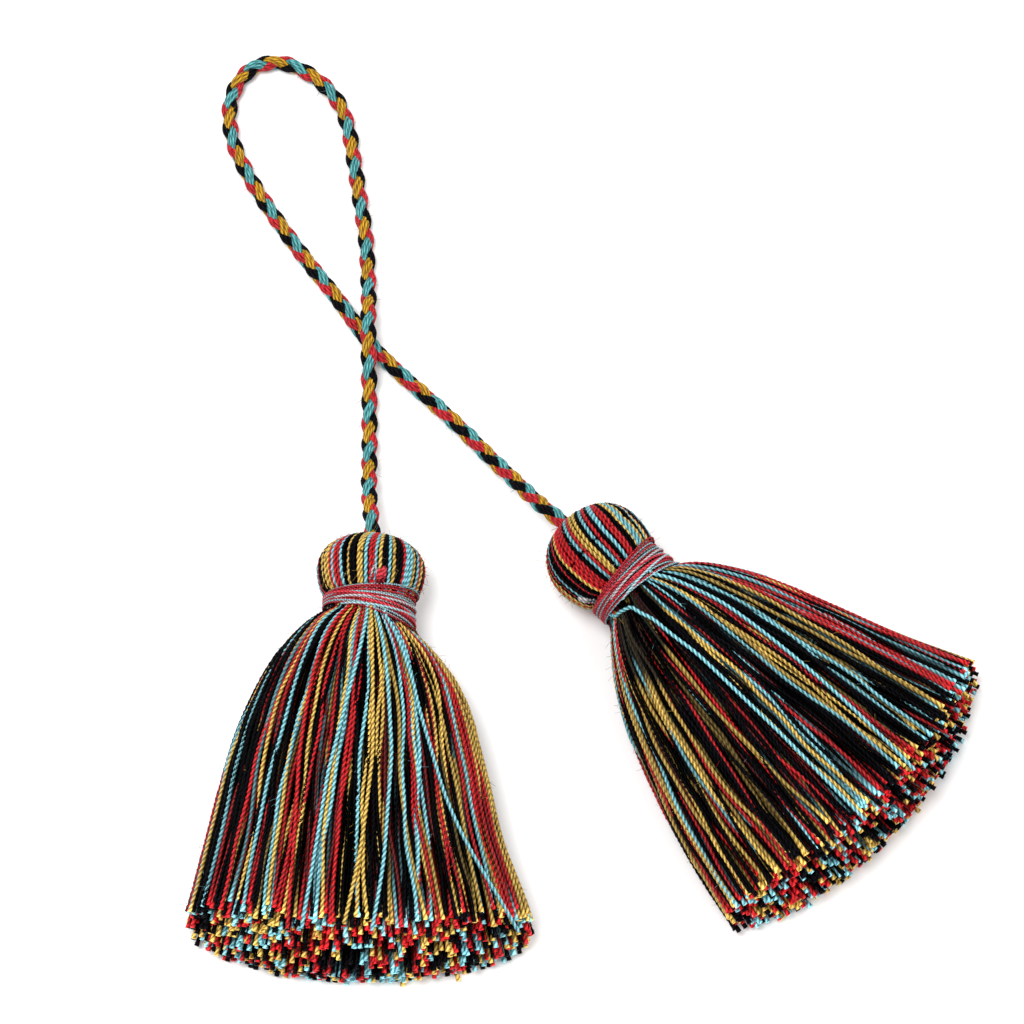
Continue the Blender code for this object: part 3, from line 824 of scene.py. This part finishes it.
def stray_fibres(paths, outward, count, longest, draw):
    """Short bent fibres that stand off the yarns whose paths are given."""
    made = []
    for _ in range(count):
        yarn, ring = draw.randrange(paths.shape[0]), draw.randrange(3, paths.shape[1] - 2)
        base, away = paths[yarn, ring], unit(outward[yarn, ring])
        along = unit(paths[yarn, ring + 1] - base)
        lean = np.array([draw.gauss(0, 0.5), draw.gauss(0, 0.5), draw.gauss(0, 0.3)])
        reach = draw.uniform(0.4, 1.0) * longest
        rise = unit(away * 0.7 + along * draw.uniform(-0.7, 0.7) + lean)
        bend = unit(rise + along * draw.uniform(-1.2, 1.2) + lean)
        steps = [base, base + rise * reach * 0.4, base + rise * reach * 0.6 + bend * reach * 0.3,
                 base + rise * reach * 0.6 + bend * reach]
        made.append(steps)
    made = np.array(made)
    made[..., 2] = np.maximum(made[..., 2], 0.06 * MM)
    return made


def add_fibres(gathered, paths, outward, count, draw, longest=1.6 * MM):
    if len(paths):
        fibres = stray_fibres(paths, outward, count, longest, draw)
        gathered.sweep(
            fibres, np.broadcast_to(np.array(FIBRE_FACING), fibres.shape), FIBRE_WIDTH,
            FIBRE_WIDTH, 3, np.zeros(fibres.shape[:2]), False, np.full((count, 1), 1.1),
        )


def tints_of(count, draw, spread):
    return drawn_column(draw, 1 - spread, 1 + spread, count)


def finish_piece(made, node):
    """Puts a piece on its body and has it replace a node of the part."""
    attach(made, BODY)
    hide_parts(node)


class TASSEL_OT_dress(bpy.types.Operator):
    """Lays a tassel's yarns round its head and along its skirt, one piece for each colour"""

    bl_idname = "tassel.dress"
    bl_label = "Dress a tassel"
    side: EnumProperty(name="Side", items=[(name, name, name) for name in TASSELS])

    def execute(self, context):
        tassel = TASSELS[self.side]
        yarn = context.scene.tassel_yarn
        skirt = context.scene.tassel_skirt
        draw = random.Random(tassel.seed)
        across, upward, ring_of, colour = skirt_yarns(tassel, skirt, draw)
        head_count = context.scene.tassel_head.yarns
        head_colour = coloured_in_runs(draw, head_count, HEAD_TOPS[tassel.name])
        paths, outward, size = head_paths(tassel, head_count, HEAD_RINGS, draw)
        head_turn = turn_of(paths, yarn.twist, draw)
        outer = (ring_of == skirt.rings) & (upward > -0.35)
        middle = (ring_of > skirt.rings - 3) & ~outer
        for number, name in enumerate(COLOUR_NAMES):
            gathered = YarnMesh()
            for chosen, count, sides, twisted in (
                (outer, round(SKIRT_LENGTH / TWISTED_STEP), 4, True), (middle, PLAIN_RINGS, 5, False),
                (~outer & ~middle, INNER_RINGS, 4, False),
            ):
                picked = chosen & (colour == number)
                lines = skirt_paths(
                    tassel, across[picked], upward[picked], skirt, yarn, draw, count
                )
                wide = yarn.width if twisted else (yarn.width + yarn.thickness) / 2
                thick = yarn.thickness if twisted else wide
                tints = skirt_tones_and_painted_light(lines, ring_of[picked], skirt, draw)
                tints = tints * root_shade(
                    tassel, across[picked], upward[picked], ring_of[picked], skirt,
                    travelled(lines), draw,
                )
                up = skirt_outward(tassel, lines)
                gathered.sweep(
                    lines, up, wide, thick, sides, turn_of(lines, yarn.twist, draw), twisted, tints,
                    skirt_sizes(lines),
                )
                if twisted:
                    add_fibres(gathered, lines, up, SKIRT_FIBRES, draw)
            for bowed, table in BOWED_YARNS[tassel.name]:
                if bowed == name:
                    lines = bowed_path(tassel, table, yarn, BOWED_RINGS)
                    gathered.sweep(
                        lines, skirt_outward(tassel, lines), yarn.width, yarn.thickness, 4,
                        turn_of(lines, yarn.twist, draw), True, np.full((1, BOWED_RINGS), 1.15),
                    )
            picked = head_colour == number
            gathered.sweep(
                paths[picked], outward[picked], yarn.width, yarn.thickness, 4,
                head_turn[picked], True, tints_of(int(picked.sum()), draw, HEAD_TINTS),
                size[picked],
            )
            add_fibres(
                gathered, paths[picked][:, HEAD_SHOWN], outward[picked][:, HEAD_SHOWN], HEAD_FIBRES,
                draw,
            )
            look = yarn_finish(
                name + "_yarn", getattr(yarn, name + "_painted_shade"), getattr(yarn, name),
                shine=BLACK_SHINE if name == "black" else YARN_SHINE,
            )
            made = gathered.piece(f"{tassel.name}_{name}_yarns", look)
            finish_piece(made, "tassel_" + tassel.name)
        return {"FINISHED"}


class TASSEL_OT_core(bpy.types.Operator):
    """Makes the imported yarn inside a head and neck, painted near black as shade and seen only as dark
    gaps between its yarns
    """

    bl_idname = "tassel.core"
    bl_label = "Fill a head"
    side: EnumProperty(name="Side", items=[(name, name, name) for name in TASSELS])

    def execute(self, context):
        tassel = TASSELS[self.side]
        bpy.ops.object.select_all(action="DESELECT")
        belly = belly_at(tassel)
        bpy.ops.mesh.primitive_uv_sphere_add(segments=32, ring_count=20, radius=1.0)
        core = context.object
        core.name = core.data.name = tassel.name + "_core"
        pole_reach = pole_reach_of(tassel)
        for vertex in core.data.vertices:
            along, out = vertex.co.z, math.hypot(vertex.co.x, vertex.co.y)
            if along < 0:
                x = belly + along * (pole_reach - CORE_LINING)
                radius = out * (HEAD_RADIUS - CORE_LINING)
            else:
                x = belly + along * (-belly + 1.5 * MM)
                share = min(max((x - belly) / (tassel.belly_to_binding * MM), 0.0), 1.0)
                bulge = (HEAD_RADIUS - NECK_RADIUS) * math.sqrt(1.0 - share * share)
                radius = min(NECK_RADIUS - CORE_LINING + bulge, out * 4.0 * (HEAD_RADIUS - CORE_LINING))
            angle = math.atan2(vertex.co.y, vertex.co.x)
            height = max(radius * math.sin(angle) + AXIS_HEIGHT, 0.4 * MM)
            vertex.co = (x, radius * math.cos(angle), height)
        points = np.array([tuple(vertex.co) for vertex in core.data.vertices])
        points = placed(tassel, leaned(tassel, points))
        core.data.vertices.foreach_set("co", points.astype(np.float32).reshape(-1))
        bpy.ops.object.mode_set(mode="EDIT")
        bpy.ops.mesh.select_all(action="SELECT")
        bpy.ops.mesh.normals_make_consistent(inside=False)
        bpy.ops.object.mode_set(mode="OBJECT")
        bpy.ops.object.shade_smooth()
        look = bpy.data.materials.get("packed_yarn_in_painted_shade") or packed_yarn_finish()
        core.data.materials.append(look)
        finish_piece(core, "tassel_" + tassel.name)
        return {"FINISHED"}


def packed_yarn_finish():
    """The matted yarn deep between the others, painted near black for the shade there."""
    finish = Finish("packed_yarn_in_painted_shade")
    place = finish.node("ShaderNodeTexCoord", output=3)
    matted = finish.node("ShaderNodeTexNoise", Vector=place, Scale=1600.0, Detail=3.0)
    # Painted shade: near black for the shade deep inside the head and neck, with a faint matted pattern.
    ramp = finish.node("ShaderNodeMix", {"data_type": "RGBA"}, output=2, _0=matted,
                       _6=(0.002, 0.0015, 0.002, 1.0), _7=(0.016, 0.004, 0.005, 1.0))
    bump = finish.node("ShaderNodeBump", Strength=0.5, Distance=0.2 * MM, Height=matted)
    finish.set(Base_Color=ramp, Roughness=0.9, Normal=bump, Specular_IOR_Level=0.02)
    return finish.material


class TASSEL_OT_bind(bpy.types.Operator):
    """Winds the thread round a tassel's neck, turn by turn, with its knotted end"""

    bl_idname = "tassel.bind"
    bl_label = "Wind a binding"
    side: EnumProperty(name="Side", items=[(name, name, name) for name in TASSELS])

    def execute(self, context):
        tassel = TASSELS[self.side]
        width = context.scene.tassel_head.thread_width
        draw = random.Random(tassel.seed + 5)
        turns = tassel.turns
        length = tassel.binding_length * MM - width
        angle = np.linspace(0.0, math.tau + 0.04, BINDING_SAMPLES) - math.pi
        lines = {kind: [] for kind in THREADS}
        for number, kind in enumerate(turns):
            place = number / (len(turns) - 1) - 0.5
            fanned = 1.0 + BINDING_FAN * np.sin(angle)
            waver = draw.uniform(-0.1, 0.1) * MM * np.sin(angle + draw.uniform(0, 6))
            lean = draw.uniform(-0.2, 0.2) * MM * np.cos(angle)
            at = (place * fanned - 0.5) * length - width / 2 + waver + lean
            lift = width * (0.45 + 0.3 * (number % 2)) + draw.uniform(0, 0.08) * MM
            lines[kind].append((at, angle, surface_radius(tassel, at) + lift))
        share = np.linspace(0.0, 1.0, BINDING_SAMPLES)
        for kind, start, end, place in (
            ("r", 0.15, 0.75, 0.2), ("p", 0.55, 0.2, 0.9), ("t", 0.9, 0.4, 1.1), ("r", 0.6, 1.0, 1.6),
        ):
            swing = place + math.pi * 1.1 * (share - 0.5)
            at = (start + (end - start) * share - 1.0) * length
            lift = width * (0.3 + 1.1 * np.sin(math.pi * share) ** 0.5)
            lines[kind].append((at, swing, surface_radius(tassel, at) + lift))
        heart = placed(tassel, np.array([-0.5 * tassel.binding_length * MM, 0.0, AXIS_HEIGHT]))
        for kind, (name, deep, pale) in THREADS.items():
            gathered = YarnMesh()
            rows = [(np.array(lines[kind]), width)]
            for knot in KNOTS[tassel.name]:
                if knot.kind == kind:
                    rows.append((knot_line(tassel, knot, BINDING_SAMPLES // 5), knot.thick * MM))
            for row, wide in rows:
                at, swing, radius = row[:, 0], row[:, 1], row[:, 2]
                local = [at, radius * np.sin(swing), radius * np.cos(swing) + AXIS_HEIGHT]
                local[2] = np.maximum(local[2], wide / 2)
                paths = placed(tassel, leaned(tassel, np.stack(local, -1)))
                gathered.sweep(
                    paths, unit(paths - heart), wide, wide * 0.8, 5,
                    turn_of(paths, THREAD_TWIST, draw), True,
                    tints_of(len(paths), draw, THREAD_TINTS),
                )
            look = yarn_finish(name, deep, pale, fibre_scale=FINE_FIBRES)
            made = gathered.piece(f"{tassel.name}_{name}", look)
            finish_piece(made, "binding_" + tassel.name)
        return {"FINISHED"}


def knot_line(tassel, knot, samples):
    """A hairpin of thread that stands out of the binding on the head."""
    share = np.linspace(0.0, 1.0, samples)
    bow = np.sin(math.pi * share)
    at = (-tassel.binding_length + 0.9 - (knot.length + 0.9) * bow**0.7) * MM
    swing = knot.angle + (share - 0.5) * knot.width * MM / HEAD_RADIUS
    radius = surface_radius(tassel, at) + knot.thick * MM * (0.1 + 0.5 * bow)
    return np.stack([at, swing, radius])[None]


def smooth_route(step):
    """Points at even steps on a smooth curve through the cord's route."""
    route = [Vector((*point, CORD_REST_MM)[:3]) for point in CORD_ROUTE_MM]
    knots = [(point - LAYOUT_MIDDLE_MM) * MM for point in route]
    knots = [2 * knots[0] - knots[1]] + knots + [2 * knots[-1] - knots[-2]]
    fine = []
    for a, b, c, d in zip(knots, knots[1:], knots[2:], knots[3:]):
        for part in range(40):
            t = part / 40
            fine.append(0.5 * (2 * b + (c - a) * t + (2 * a - 5 * b + 4 * c - d) * t**2
                               + (3 * b - a - 3 * c + d) * t**3))
    fine.append(knots[-2])
    points = np.array([tuple(point) for point in fine])[None]
    return evened(points, round(travelled(points)[0, -1] / step) + 1)[0]


class TASSEL_OT_lay_cord(bpy.types.Operator):
    """Braids the cord: two strands wind each way, each passing over and under the others"""

    bl_idname = "tassel.lay_cord"
    bl_label = "Lay the braided cord"

    def execute(self, context):
        cord = context.scene.tassel_cord
        draw = random.Random(3)
        middle = smooth_route(BRAID_STEP)
        # The cord runs on into the heads, between the folded yarns.
        head_in = middle[0] - (middle[1] - middle[0]) * np.arange(4, 0, -1)[:, None]
        head_out = middle[-1] + (middle[-1] - middle[-2]) * np.arange(1, 5)[:, None]
        middle = np.concatenate([head_in, middle, head_out])
        forward = unit(np.gradient(middle, axis=0))
        beside = unit(np.cross(forward, np.array([0.0, 0.0, 1.0])))
        upright = np.cross(beside, forward)
        reach = travelled(middle[None])[0]
        roll = np.interp(reach / reach[-1], *zip(*CORD_ROLL))
        speed = math.pi / cord.crossing
        made = YarnMeshes()
        for name, sense, start in CORD_STRANDS:
            spin = sense * speed * reach + start
            over = sense * np.cos(2 * spin)
            radius = BRAID_MIDDLE + BRAID_SWING * over
            angle = spin - sense * BRAID_PAUSE * np.sin(2 * spin) + roll
            radial = upright * np.cos(angle)[:, None] + beside * np.sin(angle)[:, None]
            centre = middle + radial * radius[:, None]
            heading = unit(np.gradient(centre, axis=0))
            lateral = unit(np.cross(heading, radial))
            lines, outs = [], []
            for number in range(cord.floss):
                # The strand's own twist lays its floss nearly along the cord where it shows.
                turned = math.tau * (number / cord.floss - sense * reach / STRAND_TWIST)
                side, rise = np.sin(turned)[:, None], np.cos(turned)[:, None]
                place = lateral * side * STRAND_HALF_WIDTH + radial * rise * STRAND_HALF_DEPTH
                lines.append(centre + place)
                outs.append(lateral * side * STRAND_HALF_DEPTH + radial * rise * STRAND_HALF_WIDTH)
            made.add(name, np.array(lines), np.array(outs), draw)
        piece = made.piece("cord_braid")
        finish_piece(piece, "braided_cord")
        bare = smooth_route(CORD_PATH_STEP)
        return {"FINISHED"}


class YarnMeshes:
    """The strands of the cord, gathered into one piece with a material for each colour."""

    def __init__(self):
        self.parts = []

    def add(self, name, lines, outward, draw):
        gathered = YarnMesh()
        shades = tints_of(len(lines), draw, HEAD_TINTS)
        gathered.sweep(
            lines, outward, FLOSS_WIDTH, FLOSS_DEPTH, 5, turn_of(lines, FLOSS_TWIST, draw),
            False, shades,
        )
        add_fibres(
            gathered, lines[:, CORD_SHOWN], outward[:, CORD_SHOWN], FLOSS_FIBRES, draw, 1.3 * MM
        )
        self.parts.append(gathered.piece("strand_" + name, cord_look(name)))

    def piece(self, name):
        bpy.ops.object.select_all(action="DESELECT")
        for part in self.parts:
            part.select_set(True)
        bpy.context.view_layer.objects.active = self.parts[0]
        bpy.ops.object.join()
        made = self.parts[0]
        made.name = made.data.name = name
        return made


def cord_look(name):
    shine = BLACK_SHINE if name == "black" else FLOSS_SHINE
    return yarn_finish(name + "_cord_floss", *CORD_COLOURS[name], shine, FINE_FIBRES)


class TASSEL_OT_stage(bpy.types.Operator):
    """Sets the pale floor, the soft lights and the camera"""

    bl_idname = "tassel.stage"
    bl_label = "Set the stage"

    def execute(self, context):
        stage = context.scene.tassel_stage
        target = -LAYOUT_MIDDLE_MM * MM
        bpy.ops.object.select_all(action="DESELECT")
        bpy.ops.mesh.primitive_plane_add(size=4.0, location=(target.x, target.y, 0.0))
        floor = context.object
        floor.name = "studio_floor"
        look = Finish("studio_paper")
        look.set(Base_Color=(*stage.floor, 1.0), Roughness=0.9, Specular_IOR_Level=0.2)
        floor.data.materials.append(look.material)

        for name, spot, size, power in LIGHTS:
            lamp = bpy.data.lights.new(name, "AREA")
            lamp.shape = "DISK"
            lamp.size = size
            lamp.energy = power
            light = bpy.data.objects.new(name, lamp)
            light.location = target + Vector(spot)
            light.rotation_euler = (-Vector(spot)).to_track_quat("-Z", "Y").to_euler()
            context.scene.collection.objects.link(light)

        world = bpy.data.worlds.new("studio_air")
        world.use_nodes = True
        background = world.node_tree.nodes["Background"]
        background.inputs["Color"].default_value = (1.0, 1.0, 1.0, 1.0)
        background.inputs["Strength"].default_value = WORLD_STRENGTH
        context.scene.world = world
        context.scene.view_settings.view_transform = "Standard"

        back = Vector((0.0, -math.cos(stage.elevation), math.sin(stage.elevation)))
        lens = bpy.data.cameras.new("camera")
        lens.sensor_width = 36.0
        lens.lens = lens.sensor_width * stage.distance / stage.view_width
        lens.clip_start = 0.01
        camera = bpy.data.objects.new("camera", lens)
        camera.location = target + back * stage.distance
        camera.rotation_euler = back.to_track_quat("Z", "Y").to_euler()
        context.scene.collection.objects.link(camera)
        context.scene.camera = camera
        return {"FINISHED"}


class TASSEL_PT_panel(bpy.types.Panel):
    """Lists the tassel's operators and settings"""

    bl_label = "Double key tassel"
    bl_idname = "TASSEL_PT_panel"
    bl_space_type = "VIEW_3D"
    bl_region_type = "UI"
    bl_category = "Tassel"

    def draw(self, context):
        for side in TASSELS:
            for operator in ("tassel.core", "tassel.dress", "tassel.bind"):
                self.layout.operator(operator, text=f"{operator.split('.')[1]} {side}").side = side
        self.layout.operator("tassel.lay_cord")
        self.layout.operator("tassel.stage")
        for group in SETTINGS:
            settings = getattr(context.scene, group)
            # The first two properties are every group's own.
            for name in settings.bl_rna.properties.keys()[2:]:
                self.layout.prop(settings, name)


SETTINGS = {
    "tassel_yarn": TasselYarnSettings,
    "tassel_skirt": TasselSkirtSettings,
    "tassel_head": TasselHeadSettings,
    "tassel_cord": TasselCordSettings,
    "tassel_stage": TasselStageSettings,
}
CLASSES = (
    *SETTINGS.values(), TASSEL_OT_core, TASSEL_OT_dress, TASSEL_OT_bind, TASSEL_OT_lay_cord,
    TASSEL_OT_stage, TASSEL_PT_panel,
)


def register():
    for made in CLASSES:
        bpy.utils.register_class(made)
    for name, group in SETTINGS.items():
        setattr(bpy.types.Scene, name, PointerProperty(type=group))


def unregister():
    for name in SETTINGS:
        delattr(bpy.types.Scene, name)
    for made in reversed(CLASSES):
        bpy.utils.unregister_class(made)


def main():
    register()
    bpy.ops.tassel.stage()
    bpy.ops.tassel.lay_cord()
    for side in TASSELS:
        bpy.ops.tassel.core(side=side)
        bpy.ops.tassel.dress(side=side)
        bpy.ops.tassel.bind(side=side)


if __name__ == "__main__":
    main()
